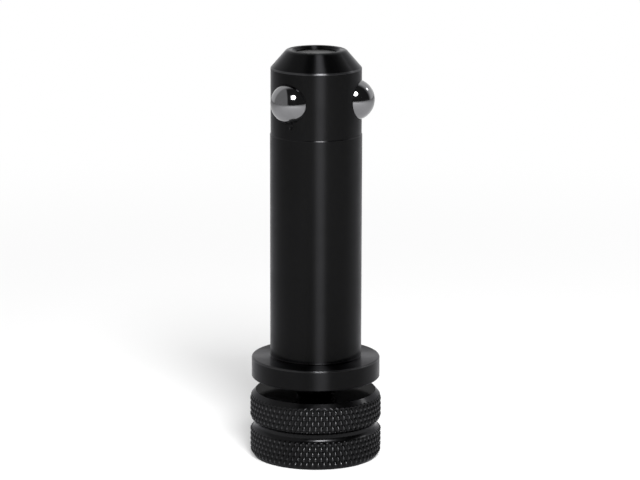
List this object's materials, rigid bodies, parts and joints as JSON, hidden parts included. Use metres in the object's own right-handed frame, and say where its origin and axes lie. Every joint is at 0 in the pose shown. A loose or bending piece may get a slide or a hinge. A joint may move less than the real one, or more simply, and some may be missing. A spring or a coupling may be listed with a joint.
{
  "type": "ball lock pin",
  "caption": "Steel clamping pin for system holes: a knurled knob drives a cone that pushes lock balls out near the tip, gripping plates against the flange.",
  "frame": {"origin": "centre of the knob's base, which the pin stands on", "axes": "+Z along the pin from the knob to the tip; the first lock ball points 130 degrees clockwise from +X, seen from the tip"},
  "size_m": [0.0404, 0.0404, 0.126],
  "materials": {
    "black_oxide_steel": "turned and ground, black oxide, oiled",
    "black_oxide_plug": "faced, black oxide",
    "black_oxide_knob": "diamond knurled, black oxide",
    "black_oxide_screw": "black oxide",
    "hardened_steel": "hardened and ground",
    "bright_spindle_steel": "turned, oiled",
    "bearing_steel": "polished bearing steel"
  },
  "bodies": {
    "pin": {"pin_body": "black_oxide_steel", "tip_plug": "black_oxide_plug"},
    "feed": {"pressure_cone": "hardened_steel", "thrust_ball": "bearing_steel"},
    "drive": {"spindle": "bright_spindle_steel", "knob": "black_oxide_knob", "knob_grub_screw": "black_oxide_screw"},
    "lock_ball_1": {"ball_1": "bearing_steel"},
    "lock_ball_2": {"ball_2": "bearing_steel"},
    "lock_ball_3": {"ball_3": "bearing_steel"}
  },
  "joints": [
    {"name": "spindle_feed", "type": "slide", "parent": "pin", "child": "feed", "axis": [0, 0, 1], "range_m": [-0.007, 0]},
    {"name": "knob_turn", "type": "hinge", "parent": "feed", "child": "drive", "pos_m": [0, 0, 0], "axis": [0, 0, 1], "range_deg": [-1441, 0]},
    {"name": "ball_1_slide", "type": "slide", "parent": "pin", "child": "lock_ball_1", "axis": [-0.6428, -0.766, 0], "range_m": [-0.00405, 0]},
    {"name": "ball_2_slide", "type": "slide", "parent": "pin", "child": "lock_ball_2", "axis": [0.9848, -0.1736, 0], "range_m": [-0.00405, 0]},
    {"name": "ball_3_slide", "type": "slide", "parent": "pin", "child": "lock_ball_3", "axis": [-0.342, 0.9397, 0], "range_m": [-0.00405, 0]}
  ],
  "couplings": [
    {"joint": "knob_turn", "follows": "spindle_feed", "rad_per_m": 3590.4},
    {"joint": "ball_1_slide", "follows": "spindle_feed", "ratio": 0.57735},
    {"joint": "ball_2_slide", "follows": "spindle_feed", "ratio": 0.57735},
    {"joint": "ball_3_slide", "follows": "spindle_feed", "ratio": 0.57735}
  ]
}
